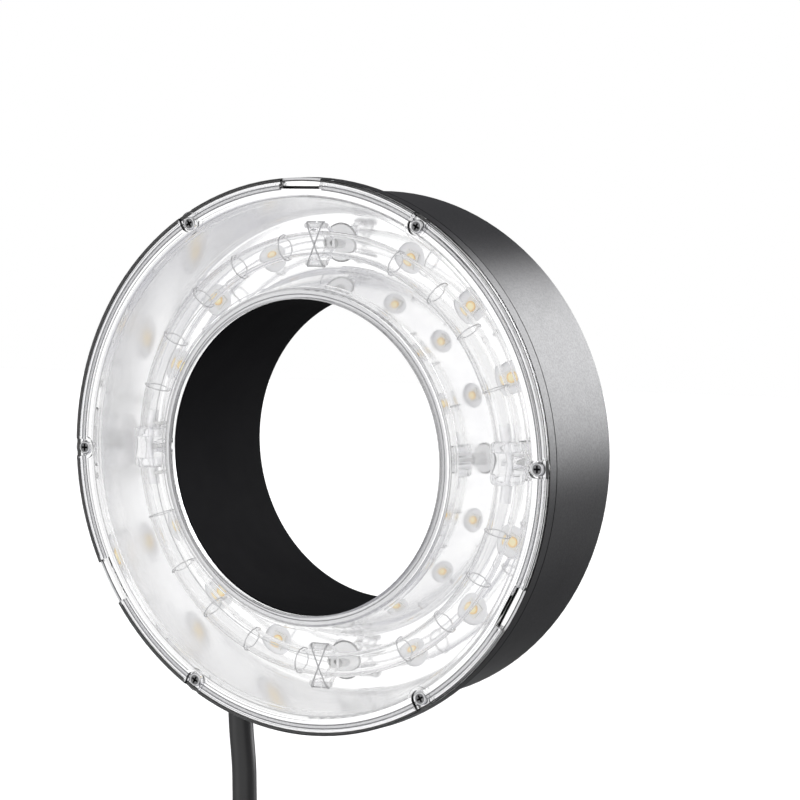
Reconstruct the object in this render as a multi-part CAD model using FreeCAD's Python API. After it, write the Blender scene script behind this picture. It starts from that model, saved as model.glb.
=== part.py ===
"""Ring flash head: a black drum round a lens opening, with a polished trough, two half-ring
flash tubes, twelve modelling LEDs, a clear front cover and a cord with its plug.

Frame, in millimetres: the lens axis is Y, the front faces -Y, Z is up and X is to the right of
someone who looks at the front. The origin is on the lens axis, in the plane of the rear face.
Depths are counted backwards from the plane of the cover's screw heads.
"""
import FreeCAD, Part
import math
import os

V = FreeCAD.Vector

# Drum
head_depth = 54.2
flange_radius = 94.8
flange_back = 6.4
flange_lip = 1.0
flange_step = 4.8
shell_taper = 1.2
shell_wall = 2.0
shell_chamfer = 1.0
throat_radius = 53.7
throat_wall = 1.5
throat_front_collar = 1.4
throat_rear_collar = 2.2
collar_thickness = 1.5

# Clear front cover
cover_front = -1.2
cover_seat = 1.05
window_front = -0.3
window_thickness = 2.0
cover_throat_gap = 0.2
inner_land_width = 3.5
outer_land_width = 5.2
rim_width = 2.2
rim_step = 0.7
edge_chamfer = 0.5
rib_height = 2.8
rib_thickness = 1.0
rib_gap = 0.3

# Cover screws and their pockets
cover_screw_count = 6
cover_screw_inset = 3.8
pocket_radius = 3.0
pocket_wall = 1.1
pocket_floor = 0.45
cover_screw_head_radius = 2.3
cover_screw_head_height = 0.95
cover_screw_radius = 1.25
cover_screw_tip = 5.6
screw_clearance = 0.25

# Accessory notches in the cover's rim, at 90, 210 and 330 degrees
notch_count = 3
notch_first_angle = 90.0
notch_length = 16.0
notch_depth = 3.8
notch_frame = 1.5
notch_slit = 0.9
notch_undercut = 1.1
notch_pocket_depth = 3.0

# Reflector trough
sheet = 0.8
trough_outer_inset = 6.8
trough_inner_inset = 4.1
trough_collar = 5.0
outer_wall_run = 5.0
inner_wall_run = 4.6
floor_to_rear = 28.4
floor_cove = 2.0
wall_bend = 2.0
lip_bend = 0.25
reflector_lip = 1.2
reflector_throat_gap = 0.3

# Flash tubes
tube_inward = 0.9
tube_above_floor = 11.8
tube_radius = 4.2
tube_bore_radius = 3.2
tube_end_angle = 3.2
tube_seal = 2.2
electrode_angle = 8.1
cathode_radius = 1.9
cathode_length = 6.0
pin_radius = 0.7
pin_length = 8.5
fit_gap = 0.05

# Trigger wire round the tubes
upper_turn_angles = (20, 37, 51, 66, 102, 118, 133, 148, 163)
lower_turn_angles = (199, 215, 230, 245, 262, 296, 311, 327, 341)
turn_sides = 12
turn_gap = 0.08
turn_thickness = 0.3
turn_width = 0.35
link_end_angle = 6.6
trigger_lead_angle = 7.4
trigger_lead_inward = 5.4

# Tube posts at 12 and 6 o'clock, tube sockets at 3 and 9 o'clock
post_hole_radius = 6.8
post_plug_gap = 0.65
post_plug_stand = 0.5
post_stem_radius = 2.9
post_base_length = 24.0
post_base_width = 14.0
post_base_thickness = 2.0
stem_length = 5.8
cradle_width = 14.0
cradle_length = 3.0
flare_behind_tube = 1.0
arm_reach = 5.6
channel_gap = 0.3
peg_radius = 0.95
peg_length = 8.4
peg_offset = 6.3
peg_before_tube = 4.0
tie_wire_radius = 0.25
tie_wire_inset = 0.9
tie_bend = 0.4
socket_length = 14.0
socket_radius = 5.8
socket_edge = 1.2
lead_passage_radius = 2.0
post_screw_offset = 9.8
post_screw_radius = 0.9
post_screw_head_radius = 1.7
post_screw_head_height = 1.3

# LED board behind the floor
led_outward = 0.4
led_hole_radius = 5.6
led_step_angle = 22.5
board_gap = 0.2
led_board_thickness = 1.6
led_board_throat_gap = 6.0
led_board_outer_inset = 2.2
led_package_side = 5.0
led_package_height = 0.9
phosphor_radius = 1.8
phosphor_height = 0.3
stud_radius = 1.2
stud_inset = 2.3
stud_first_angle = 33.75
stud_count = 4
stud_spare = 0.6
nut_across_flats = 5.0
nut_thickness = 2.0

# Rear cover, its screws and the bracket inserts
rear_cover_thickness = 2.5
rear_cover_gap = 0.3
rear_screw_inset = 3.6
rear_screw_first_angle = 30.0
rear_screw_count = 6
rear_boss_radius = 3.0
rear_boss_length = 8.5
rear_screw_radius = 1.2
rear_screw_length = 8.0
rear_screw_spare = 0.5
rear_head_radius = 2.4
rear_head_height = 1.4
insert_inward = 1.5
insert_count = 6
insert_radius = 3.2
insert_bore_radius = 2.1
insert_length = 8.0
insert_boss_radius = 4.8

# Control board and what is on it
control_board_to_rear = 20.2
control_board_thickness = 1.6
control_board_throat_gap = 5.3
control_board_shell_gap = 4.3
control_board_start = 154.0
control_board_end = 206.0
standoff_radius = 2.6
standoff_inset = 3.3
standoff_angles = (157.5, 202.5)
board_screw_radius = 1.1
board_screw_length = 8.0
board_screw_head_radius = 2.1
board_screw_head_height = 1.5
transformer_width = 15.0
transformer_length = 13.0
transformer_height = 9.0
transformer_flange = 2.0
transformer_core_height = 10.5
transformer_angle = 166.5
capacitor_width = 16.0
capacitor_length = 9.0
capacitor_height = 9.0
capacitor_corner = 1.5
capacitor_angle = 180.0
terminal_width = 14.0
terminal_length = 8.0
terminal_height = 9.0
terminal_angle = 190.0
terminal_pitch = 3.7
terminal_depth = 3.5
terminal_wall = 0.5
lead_radius = 1.1
lead_bend = 3.0
lead_rise = 5.0
lead_throat_gap = 9.8
thin_lead_radius = 0.6
thin_lead_bend = 0.9
pin_lead_gap = 0.2
led_lead_bend = 1.2
led_lead_outward = 0.6
led_lead_pitch = 2.4
led_lead_angles = (151.0, 163.0)

# Cord outlet under the drum
cord_radius = 4.35
cord_x = -48.5
cord_to_rear = 22.2
outlet_width = 18.0
outlet_corner = 2.5
outlet_stand = 4.6861
gland_barrel_radius = 6.0
gland_barrel_length = 8.5
gland_across_flats = 13.4
gland_flange_height = 2.5
gland_nut_height = 6.0
gland_nut_grip = 3.6
gland_nut_tip_radius = 5.4
gland_bore_gap = 0.15
cord_inner_length = 22.0
core_radius = 1.0
core_pitch = 2.6
core_rise = 7.0
core_lead_in = 4.6

# Free cord: the points of its hanging run, from the gland's mouth, then the coil
cord_run = ((0.0, 0.0), (0.0, -9.0), (1.4, -24.0), (1.4, -33.0))
coil_inner_radius = 38.5
coil_gap = 0.55
coil_half_turns = 5
lead_in_angle = 60.0
lead_in_radius = 45.0
tail_length = 28.0
tie_width = 12.0
tie_thickness = 1.4
tie_gap = 0.5
tie_corner = 3.0

# Plug on the cord
boot_length = 25.0
boot_end_radius = 6.5
boot_wall = 1.6
boot_groove_count = 4
boot_groove_start = 4.0
boot_groove_width = 1.6
boot_groove_depth = 0.7
boot_groove_pitch = 4.5
plug_shoulder = 0.8
plug_shoulder_length = 3.0
plug_radius = 9.0
plug_barrel_length = 24.0
plug_neck_radius = 7.6
plug_neck_length = 3.0
plug_sleeve_radius = 8.2
plug_sleeve_length = 10.0
plug_sleeve_wall = 1.3
insert_disc_length = 5.0
contact_circle_radius = 4.2
contact_radius = 0.8
contact_length = 5.5
contact_count = 5
ring_outer_radius = 11.0
ring_length = 19.0
ring_lip = 2.2
ring_gap = 0.35
ring_chamfer = 0.8
ring_flutes = 18
ring_flute_radius = 0.9
ring_flute_start = 2.5

# Radii that follow from the ones above
cover_inner_radius = throat_radius + cover_throat_gap
outer_land_radius = flange_radius - outer_land_width
rim_step_radius = flange_radius - rim_width
screw_circle_radius = flange_radius - cover_screw_inset
notch_inner_radius = flange_radius - notch_depth
shell_front_radius = flange_radius - flange_step
shell_rear_radius = shell_front_radius - shell_taper
shell_front_inner_radius = shell_front_radius - shell_wall
shell_back_inner_radius = shell_rear_radius - shell_wall
throat_outer_radius = throat_radius + throat_wall
reflector_flange_radius = flange_radius - reflector_lip
trough_outer_radius = flange_radius - trough_outer_inset
trough_inner_radius = throat_radius + trough_inner_inset
floor_outer_radius = trough_outer_radius - outer_wall_run
floor_inner_radius = trough_inner_radius + inner_wall_run
tube_circle_radius = (trough_outer_radius + trough_inner_radius) / 2 - tube_inward
trigger_lead_radius = tube_circle_radius - trigger_lead_inward
led_circle_radius = tube_circle_radius + led_outward
led_board_inner_radius = throat_outer_radius + led_board_throat_gap
led_board_outer_radius = floor_outer_radius - led_board_outer_inset
stud_circle_radius = led_board_outer_radius - stud_inset
rear_screw_circle_radius = shell_back_inner_radius - rear_screw_inset
control_board_inner_radius = throat_outer_radius + control_board_throat_gap
control_board_outer_radius = shell_back_inner_radius - control_board_shell_gap
control_board_radius = (control_board_inner_radius + control_board_outer_radius) / 2
insert_circle_radius = control_board_radius - insert_inward
standoff_radii = (control_board_inner_radius + standoff_inset, control_board_outer_radius - standoff_inset)

# Depths that follow from the ones above
window_back = window_front + window_thickness
reflector_front = cover_seat + fit_gap
reflector_back = reflector_front + sheet
shell_rear_edge = head_depth - shell_chamfer
rear_cover_front = head_depth - rear_cover_thickness
floor_depth = head_depth - floor_to_rear
tube_depth = floor_depth - tube_above_floor
peg_depth = tube_depth - peg_before_tube
flare_depth = tube_depth + flare_behind_tube
cradle_back = floor_depth - stem_length
post_plug_front = floor_depth - post_plug_stand
led_board_front = floor_depth + sheet + board_gap
led_board_back = led_board_front + led_board_thickness
post_base_back = led_board_back + post_base_thickness
control_board_depth = head_depth - control_board_to_rear
control_board_back = control_board_depth + control_board_thickness
cord_depth = head_depth - cord_to_rear

# Cord sizes that follow from the ones above
cord_diameter = 2 * cord_radius
coil_pitch = cord_diameter + coil_gap
outlet_face = -math.sqrt(shell_front_radius ** 2 - cord_x ** 2) - outlet_stand
gland_mouth = outlet_face - gland_flange_height - gland_nut_height


def y_at(depth):
    """Y of a plane at this depth behind the screw heads."""
    return depth - head_depth


def polar(radius, angle, depth):
    """Point at this radius and angle round the lens axis; 0 degrees is +X, 90 degrees is up."""
    turn = math.radians(angle)
    return V(radius * math.cos(turn), y_at(depth), radius * math.sin(turn))


def turned(shape, angle):
    """Copy of a shape made at 0 degrees, turned to its angle round the lens axis."""
    copy = shape.copy()
    copy.rotate(V(0, 0, 0), V(0, 1, 0), -angle)
    return copy


def steps(count, first=0.0):
    """Evenly spaced angles round the lens axis."""
    return [first + 360.0 * k / count for k in range(count)]


def ring(corners):
    """Solid of revolution round the lens axis, from its (radius, depth) corners."""
    points = [V(radius, y_at(depth), 0) for radius, depth in corners]
    face = Part.Face(Part.makePolygon(points + points[:1]))
    return face.revolve(V(0, 0, 0), V(0, 1, 0), 360)


def post(radius, position_radius, angle, front, back):
    """Cylinder along Y between two depths, at a place round the lens axis."""
    return Part.makeCylinder(radius, back - front, polar(position_radius, angle, front), V(0, 1, 0))


def block(width, length, front, back, position_radius=0.0):
    """Box at 0 degrees: width is radial, length runs round the lens axis."""
    corner = V(position_radius - width / 2, y_at(front), -length / 2)
    return Part.makeBox(width, back - front, length, corner)


def outward_block(inner_radius, outer_radius, length, front, back):
    """Box at 0 degrees from one radius to another."""
    return block(outer_radius - inner_radius, length, front, back, (inner_radius + outer_radius) / 2)


def cross_rod(radius, length, position_radius, depth, start):
    """Cylinder at 0 degrees that runs round the lens axis, from its start along +Z."""
    return Part.makeCylinder(radius, length, V(position_radius, y_at(depth), start), V(0, 0, 1))


def rounded_wire(points, radii):
    """Straight runs joined by tangent arcs, with one radius for each inner point."""
    edges = []
    start = points[0]
    for before, corner, after, radius in zip(points, points[1:], points[2:], radii):
        arriving = (corner - before).normalize()
        leaving = (after - corner).normalize()
        turn = arriving.getAngle(leaving)
        reach = radius * math.tan(turn / 2)
        arc_start = corner - arriving * reach
        arc_end = corner + leaving * reach
        inward = (leaving - arriving).normalize()
        middle = corner + inward * (radius / math.cos(turn / 2) - radius)
        edges.append(Part.LineSegment(start, arc_start).toShape())
        edges.append(Part.Arc(arc_start, middle, arc_end).toShape())
        start = arc_end
    edges.append(Part.LineSegment(start, points[-1]).toShape())
    return Part.Wire(edges)


def pipe(wire, radius):
    """Round tube along a wire."""
    first = wire.OrderedEdges[0]
    start = wire.OrderedVertexes[0].Point
    direction = first.tangentAt(first.getParameterByLength(0))
    section = Part.Wire(Part.makeCircle(radius, start, direction))
    return wire.makePipeShell([section], True, False)


def route_radii(points):
    """Arc radii of a free cord: each arc takes up most of the shorter of its two runs."""
    radii = []
    for before, corner, after in zip(points, points[1:], points[2:]):
        run_in = corner - before
        run_out = after - corner
        turn = run_in.getAngle(run_out)
        radii.append(0.45 * min(run_in.Length, run_out.Length) / math.tan(turn / 2))
    return radii


def fused(shapes):
    return shapes[0].multiFuse(shapes[1:]).removeSplitter()


def cut_all(shape, tools):
    return shape.cut(tools)


def cross_recess(size, depth_range, position_radius, angle):
    """Cross-head recess of a screw at its place round the lens axis."""
    front, back = depth_range
    slot = size * 0.28
    bars = block(size, slot, front, back, position_radius).fuse(
        block(slot, size, front, back, position_radius))
    return turned(bars, angle)


# Clear front cover

def notch_angles():
    return steps(notch_count, notch_first_angle)


def front_cover():
    """Flat annular window between an inner and an outer land, with ribs that sit in the trough."""
    inner_land = cover_inner_radius + inner_land_width
    outer_rib = trough_outer_radius - rib_gap
    inner_rib = trough_inner_radius + rib_gap
    rib_back = cover_seat + rib_height
    ledge = cover_front + rim_step
    body = ring([
        (cover_inner_radius, cover_seat),
        (cover_inner_radius, cover_front + edge_chamfer),
        (cover_inner_radius + edge_chamfer, cover_front),
        (inner_land, cover_front),
        (inner_land, window_front),
        (outer_land_radius, window_front),
        (outer_land_radius, cover_front),
        (rim_step_radius, cover_front),
        (rim_step_radius, ledge),
        (flange_radius - edge_chamfer, ledge),
        (flange_radius, ledge + edge_chamfer),
        (flange_radius, cover_seat),
        (outer_rib, cover_seat),
        (outer_rib, rib_back),
        (outer_rib - rib_thickness, rib_back),
        (outer_rib - rib_thickness, window_back),
        (inner_rib + rib_thickness, window_back),
        (inner_rib + rib_thickness, rib_back),
        (inner_rib, rib_back),
        (inner_rib, cover_seat),
    ])
    lobes = [post(pocket_radius + pocket_wall, screw_circle_radius, angle, cover_front, window_back)
             for angle in steps(cover_screw_count)]
    frame = outward_block(notch_inner_radius - notch_frame, rim_step_radius,
                          notch_length + 2 * notch_frame, cover_front, window_back)
    lobes += [turned(frame, angle) for angle in notch_angles()]
    body = fused([body] + lobes)
    reach = flange_radius + 1
    pocket = post(pocket_radius, screw_circle_radius, 0, cover_front - 1, pocket_floor).fuse(
        outward_block(screw_circle_radius, reach, 2 * pocket_radius, cover_front - 1, pocket_floor))
    hole = post(cover_screw_radius + screw_clearance, screw_circle_radius, 0, pocket_floor - 1,
                window_back + 1)
    notch = outward_block(notch_inner_radius, reach, notch_length, cover_front - 1, window_back + 1)
    under = ring([(outer_rib, cover_seat), (reach, cover_seat), (reach, window_back + 1),
                  (outer_rib, window_back + 1)])
    tools = [turned(tool, angle) for angle in steps(cover_screw_count) for tool in (pocket, hole)]
    tools += [turned(notch, angle) for angle in notch_angles()]
    return cut_all(body, tools + [under])


def cover_screws():
    """Pan-head screws that hold the cover and the reflector on the shell's flange."""
    head_top = pocket_floor - cover_screw_head_height
    screws = []
    for angle in steps(cover_screw_count):
        head = post(cover_screw_head_radius, screw_circle_radius, angle, head_top, pocket_floor)
        rim = [edge for edge in head.Edges if abs(edge.BoundBox.YMax - y_at(head_top)) < 1e-6]
        head = head.makeChamfer(0.35, rim)
        shank = post(cover_screw_radius, screw_circle_radius, angle, pocket_floor, cover_screw_tip)
        recess = cross_recess(2.5, (head_top - 1, head_top + 0.6), screw_circle_radius, angle)
        screws.append(head.fuse(shank).cut(recess))
    return Part.makeCompound(screws)


# Drum

def shell_inside(depth):
    """Inner radius of the drum at a depth; the drum narrows a little towards the rear."""
    share = (depth - flange_back) / (shell_rear_edge - flange_back)
    return shell_front_inner_radius + share * (shell_back_inner_radius - shell_front_inner_radius)


def shell_neck():
    """Radius of the drum's mouth round the trough, and the depth where the drum's wall takes over."""
    mouth = trough_outer_radius + sheet + rib_gap
    slope = (trough_outer_radius - floor_outer_radius) / (floor_depth - trough_collar)
    return mouth, trough_collar + (mouth - shell_front_inner_radius) / slope


def outer_shell():
    """Drum with its front flange, the rear cover's bosses and the cord outlet."""
    rear_inside = shell_inside(head_depth)
    mouth, neck_depth = shell_neck()
    inside = [(shell_inside(neck_depth), neck_depth), (mouth, trough_collar)]
    drum = ring([
        (mouth, reflector_back),
        (flange_radius - flange_lip, reflector_back),
        (flange_radius - flange_lip, cover_seat),
        (flange_radius, cover_seat),
        (flange_radius, flange_back),
        (shell_front_radius, flange_back),
        (shell_rear_radius, shell_rear_edge),
        (shell_rear_radius - shell_chamfer, head_depth),
        (rear_inside, head_depth),
    ] + inside)
    hollow = ring([(0, reflector_back), (mouth, reflector_back)] + inside[::-1]
                  + [(rear_inside, head_depth), (0, head_depth)])
    bosses = []
    for angle in steps(rear_screw_count, rear_screw_first_angle):
        front = rear_cover_front - rear_boss_length
        boss = post(rear_boss_radius, rear_screw_circle_radius, angle, front, rear_cover_front)
        web = outward_block(rear_screw_circle_radius, shell_back_inner_radius + shell_wall / 2,
                            2 * rear_boss_radius, front, rear_cover_front)
        bosses.append(boss.fuse(turned(web, angle)))
    outlet = Part.makeBox(outlet_width, outlet_width, -outlet_face - shell_front_radius / 2,
                          V(cord_x - outlet_width / 2, y_at(cord_depth) - outlet_width / 2, outlet_face))
    corners = [edge for edge in outlet.Edges if edge.BoundBox.ZLength > 1]
    outlet = outlet.makeFillet(outlet_corner, corners).cut(hollow)
    drum = fused([drum, outlet] + bosses)
    tools = [post(rear_screw_radius + fit_gap, rear_screw_circle_radius, angle,
                  rear_cover_front - rear_screw_length, head_depth)
             for angle in steps(rear_screw_count, rear_screw_first_angle)]
    tools += [post(cover_screw_radius + fit_gap, screw_circle_radius, angle, cover_seat,
                   cover_screw_tip + 0.2) for angle in steps(cover_screw_count)]
    pocket = outward_block(notch_inner_radius - notch_undercut, notch_inner_radius + notch_slit,
                           notch_length, reflector_back, reflector_back + notch_pocket_depth)
    tools += [turned(pocket, angle) for angle in notch_angles()]
    outlet_run = -outlet_face - shell_front_radius / 2
    tools.append(Part.makeCylinder(gland_barrel_radius + gland_bore_gap, outlet_run,
                                   V(cord_x, y_at(cord_depth), outlet_face), V(0, 0, 1)))
    return cut_all(drum, tools)


def throat_tube():
    """Black tube round the lens, clamped between the reflector and the rear cover."""
    front_collar = throat_outer_radius + throat_front_collar
    rear_collar = throat_outer_radius + throat_rear_collar
    return ring([
        (throat_radius, reflector_back),
        (front_collar, reflector_back),
        (front_collar, reflector_back + collar_thickness),
        (throat_outer_radius, reflector_back + collar_thickness),
        (throat_outer_radius, rear_cover_front - collar_thickness),
        (rear_collar, rear_cover_front - collar_thickness),
        (rear_collar, rear_cover_front),
        (throat_outer_radius, rear_cover_front),
        (throat_outer_radius, head_depth),
        (throat_radius, head_depth),
    ])


def rear_cover():
    """Back plate with bosses for the bracket inserts and standoffs for the control board."""
    inner = throat_outer_radius + rear_cover_gap
    outer = shell_inside(head_depth) - rear_cover_gap
    plate = ring([
        (inner, rear_cover_front),
        (outer, rear_cover_front),
        (outer, head_depth - edge_chamfer),
        (outer - edge_chamfer, head_depth),
        (inner + edge_chamfer, head_depth),
        (inner, head_depth - edge_chamfer),
    ])
    insert_front = head_depth - insert_length
    bosses = [post(insert_boss_radius, insert_circle_radius, angle, insert_front, rear_cover_front)
              for angle in steps(insert_count)]
    bosses += [post(standoff_radius, radius, angle, control_board_back, rear_cover_front)
               for radius in standoff_radii for angle in standoff_angles]
    plate = fused([plate] + bosses)
    tools = [post(insert_radius + fit_gap, insert_circle_radius, angle, insert_front - 1, head_depth + 1)
             for angle in steps(insert_count)]
    for angle in steps(rear_screw_count, rear_screw_first_angle):
        tools.append(post(rear_screw_radius + screw_clearance, rear_screw_circle_radius, angle,
                          rear_cover_front - 1, head_depth + 1))
        tools.append(post(rear_head_radius + screw_clearance, rear_screw_circle_radius, angle,
                          head_depth - rear_head_height, head_depth + 1))
    tools += [post(board_screw_radius + fit_gap, radius, angle, control_board_back,
                   control_board_back + board_screw_length)
              for radius in standoff_radii for angle in standoff_angles]
    return cut_all(plate, tools)


def rear_cover_screws():
    screws = []
    head_front = head_depth - rear_head_height
    tip = rear_cover_front - rear_screw_length + rear_screw_spare
    for angle in steps(rear_screw_count, rear_screw_first_angle):
        head = post(rear_head_radius, rear_screw_circle_radius, angle, head_front, head_depth)
        shank = post(rear_screw_radius, rear_screw_circle_radius, angle, tip, head_front)
        recess = cross_recess(2.6, (head_depth - 0.8, head_depth + 1), rear_screw_circle_radius, angle)
        screws.append(head.fuse(shank).cut(recess))
    return Part.makeCompound(screws)


def bracket_inserts():
    """Threaded sleeves for the screws of a bracket."""
    front = head_depth - insert_length
    sleeves = []
    for angle in steps(insert_count):
        sleeve = post(insert_radius, insert_circle_radius, angle, front, head_depth)
        bore = post(insert_bore_radius, insert_circle_radius, angle, front - 1, head_depth + 1)
        sleeves.append(sleeve.cut(bore))
    return Part.makeCompound(sleeves)


# Reflector

def trough_profile():
    """Open line of the polished side, from the outer flange over the floor to the inner flange."""
    corners = [
        V(reflector_flange_radius, y_at(reflector_front), 0),
        V(trough_outer_radius, y_at(reflector_front), 0),
        V(trough_outer_radius, y_at(trough_collar), 0),
        V(floor_outer_radius, y_at(floor_depth), 0),
        V(floor_inner_radius, y_at(floor_depth), 0),
        V(trough_inner_radius, y_at(trough_collar), 0),
        V(trough_inner_radius, y_at(reflector_front), 0),
        V(throat_radius + reflector_throat_gap, y_at(reflector_front), 0),
    ]
    return corners


def offset_profile(corners, distance):
    """The same line moved sideways by the sheet's thickness, to the left of its direction."""
    moved = []
    for k, corner in enumerate(corners):
        normals = []
        if k > 0:
            along = (corner - corners[k - 1]).normalize()
            normals.append(V(-along.y, along.x, 0))
        if k < len(corners) - 1:
            along = (corners[k + 1] - corner).normalize()
            normals.append(V(-along.y, along.x, 0))
        if len(normals) == 1:
            moved.append(corner + normals[0] * distance)
        else:
            bisector = (normals[0] + normals[1]).normalize()
            moved.append(corner + bisector * (distance / bisector.dot(normals[0])))
    return moved


def reflector():
    """Thin trough of polished sheet, with round holes for LEDs, posts and sockets."""
    front_line = trough_profile()
    back_line = offset_profile(front_line, -sheet)
    hollow_bends = [wall_bend, floor_cove, floor_cove, wall_bend]
    front_bends = [lip_bend + sheet] + hollow_bends + [lip_bend + sheet]
    back_bends = [lip_bend] + [bend + sheet for bend in hollow_bends] + [lip_bend]
    front_wire = rounded_wire(front_line, front_bends)
    back_wire = rounded_wire(back_line, back_bends)
    ends = [Part.LineSegment(front_line[0], back_line[0]).toShape(),
            Part.LineSegment(front_line[-1], back_line[-1]).toShape()]
    outline = Part.Wire(Part.sortEdges(front_wire.Edges + back_wire.Edges + ends)[0])
    trough = Part.Face(outline).revolve(V(0, 0, 0), V(0, 1, 0), 360)
    stud = post(stud_radius, stud_circle_radius, 0, floor_depth + sheet / 2,
                led_board_back + nut_thickness + stud_spare)
    trough = fused([trough] + [turned(stud, angle) for angle in steps(stud_count, stud_first_angle)])
    through = (floor_depth - 1, floor_depth + sheet + 0.1)
    tools = [post(led_hole_radius, led_circle_radius, angle, *through) for angle in led_angles()]
    tools += [post(post_hole_radius, tube_circle_radius, angle, *through) for angle in steps(4)]
    tools += [post(cover_screw_radius + screw_clearance, screw_circle_radius, angle, cover_seat - 1,
                   reflector_back + 1) for angle in steps(cover_screw_count)]
    slit = outward_block(notch_inner_radius, notch_inner_radius + notch_slit, notch_length,
                         cover_seat - 1, reflector_back + 1)
    tools += [turned(slit, angle) for angle in notch_angles()]
    tools += trigger_lead_holes(180)
    return cut_all(trough, tools)


# Flash tubes, electrodes and trigger wire

def electrode(direction):
    """Cathode and seal pin of one tube end, along the tube at 0 degrees."""
    cathode = cross_rod(cathode_radius, cathode_length, tube_circle_radius, tube_depth, -cathode_length / 2)
    pin = cross_rod(pin_radius, pin_length, tube_circle_radius, tube_depth, -cathode_length / 2 - pin_length)
    whole = cathode.fuse(pin)
    if direction < 0:
        whole = whole.mirror(V(0, 0, 0), V(0, 0, 1))
    return whole


def tube_ends():
    """Angle of each electrode and the direction in which its tube runs on from there."""
    return [(electrode_angle, 1), (180 - electrode_angle, -1), (180 + electrode_angle, 1),
            (360 - electrode_angle, -1)]


def torus_part(radius, start, end, position_radius=tube_circle_radius, depth=tube_depth):
    """Round bar bent round the lens axis between two angles."""
    circle = Part.Wire(Part.makeCircle(radius, V(position_radius, y_at(depth), 0), V(0, 0, 1)))
    bar = Part.Face(circle).revolve(V(0, 0, 0), V(0, 1, 0), -(end - start))
    return turned(bar, start)


def flash_tube(start, end):
    """Half ring of glass tube, closed at both ends round the seal pins."""
    seal = math.degrees(tube_seal / tube_circle_radius)
    tube = torus_part(tube_radius, start, end)
    bore = torus_part(tube_bore_radius, start + seal, end - seal)
    pin = cross_rod(pin_radius + fit_gap, 2 * pin_length, tube_circle_radius, tube_depth, -2 * pin_length)
    holes = []
    for angle, direction in tube_ends():
        if start < angle < end:
            hole = pin if direction > 0 else pin.mirror(V(0, 0, 0), V(0, 0, 1))
            holes.append(turned(hole, angle))
    return tube.cut([bore] + holes)


def tube_electrodes():
    return Part.makeCompound([turned(electrode(direction), angle) for angle, direction in tube_ends()])


def trigger_wire(turn_angles, start, end):
    """Flat turns round a tube, joined by one link that follows the tube's inner front side."""
    inner = tube_radius + turn_gap
    outer = inner + turn_thickness

    def polygon(radius, width):
        centre = V(tube_circle_radius, y_at(tube_depth), -width / 2)
        corner_radius = radius / math.cos(math.pi / turn_sides)
        corners = [centre + V(corner_radius * math.cos(a), corner_radius * math.sin(a), 0)
                   for a in (2 * math.pi * k / turn_sides for k in range(turn_sides + 1))]
        return Part.Face(Part.makePolygon(corners)).extrude(V(0, 0, width))

    turn = polygon(outer, turn_width).cut(polygon(inner, 3 * turn_width))
    half = turn_thickness / 2
    radius, depth = link_place()
    corners = [V(radius + dx * half, y_at(depth) + dy * half, 0)
               for dx, dy in ((-1, -1), (1, -1), (1, 1), (-1, 1))]
    face = Part.Face(Part.makePolygon(corners + corners[:1]))
    link = turned(face.revolve(V(0, 0, 0), V(0, 1, 0), -(end - start)), start)
    return fused([link] + [turned(turn, angle) for angle in turn_angles])


# Posts, sockets, pegs and ties

def post_base():
    return block(post_base_width, post_base_length, led_board_back, post_base_back, tube_circle_radius)


def post_screw_holes(radius, front, back):
    """Two holes or shanks through a base, one on each side of its post."""
    return [Part.makeCylinder(radius, back - front,
                              V(tube_circle_radius, y_at(front), side * post_screw_offset), V(0, 1, 0))
            for side in (-1, 1)]


def post_foot(front):
    """Stem, the disc that fills the hole in the floor, and the base behind the LED board."""
    stem = post(post_stem_radius, tube_circle_radius, 0, front, post_plug_front)
    plug = post(post_hole_radius - post_plug_gap, tube_circle_radius, 0, post_plug_front, led_board_back)
    return [stem, plug, post_base()]


def tube_post():
    """Clear post whose forked cradle holds the tube and carries the tie pegs in its outer sides."""
    arm_front = tube_depth - arm_reach
    corners = [V(tube_circle_radius + side * half, y_at(depth), -cradle_length / 2) for side, half, depth in (
        (-1, cradle_width / 2, arm_front), (1, cradle_width / 2, arm_front),
        (1, cradle_width / 2, flare_depth), (1, post_stem_radius, cradle_back),
        (-1, post_stem_radius, cradle_back), (-1, cradle_width / 2, flare_depth))]
    cradle = Part.Face(Part.makePolygon(corners + corners[:1])).extrude(V(0, 0, cradle_length))
    channel_radius = tube_radius + channel_gap
    channel = cross_rod(channel_radius, 2 * cradle_length, tube_circle_radius, tube_depth, -cradle_length)
    mouth = block(2 * channel_radius, 2 * cradle_length, arm_front - 1, tube_depth, tube_circle_radius)
    pegs = [cross_rod(peg_radius + fit_gap, 2 * peg_length, tube_circle_radius + side * peg_offset,
                      peg_depth, -peg_length) for side in (-1, 1)]
    body = fused([cradle] + post_foot(cradle_back))
    screw_holes = post_screw_holes(post_screw_radius + fit_gap, post_plug_front, post_base_back + 1)
    return cut_all(body, [channel, mouth] + pegs + screw_holes)


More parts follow.
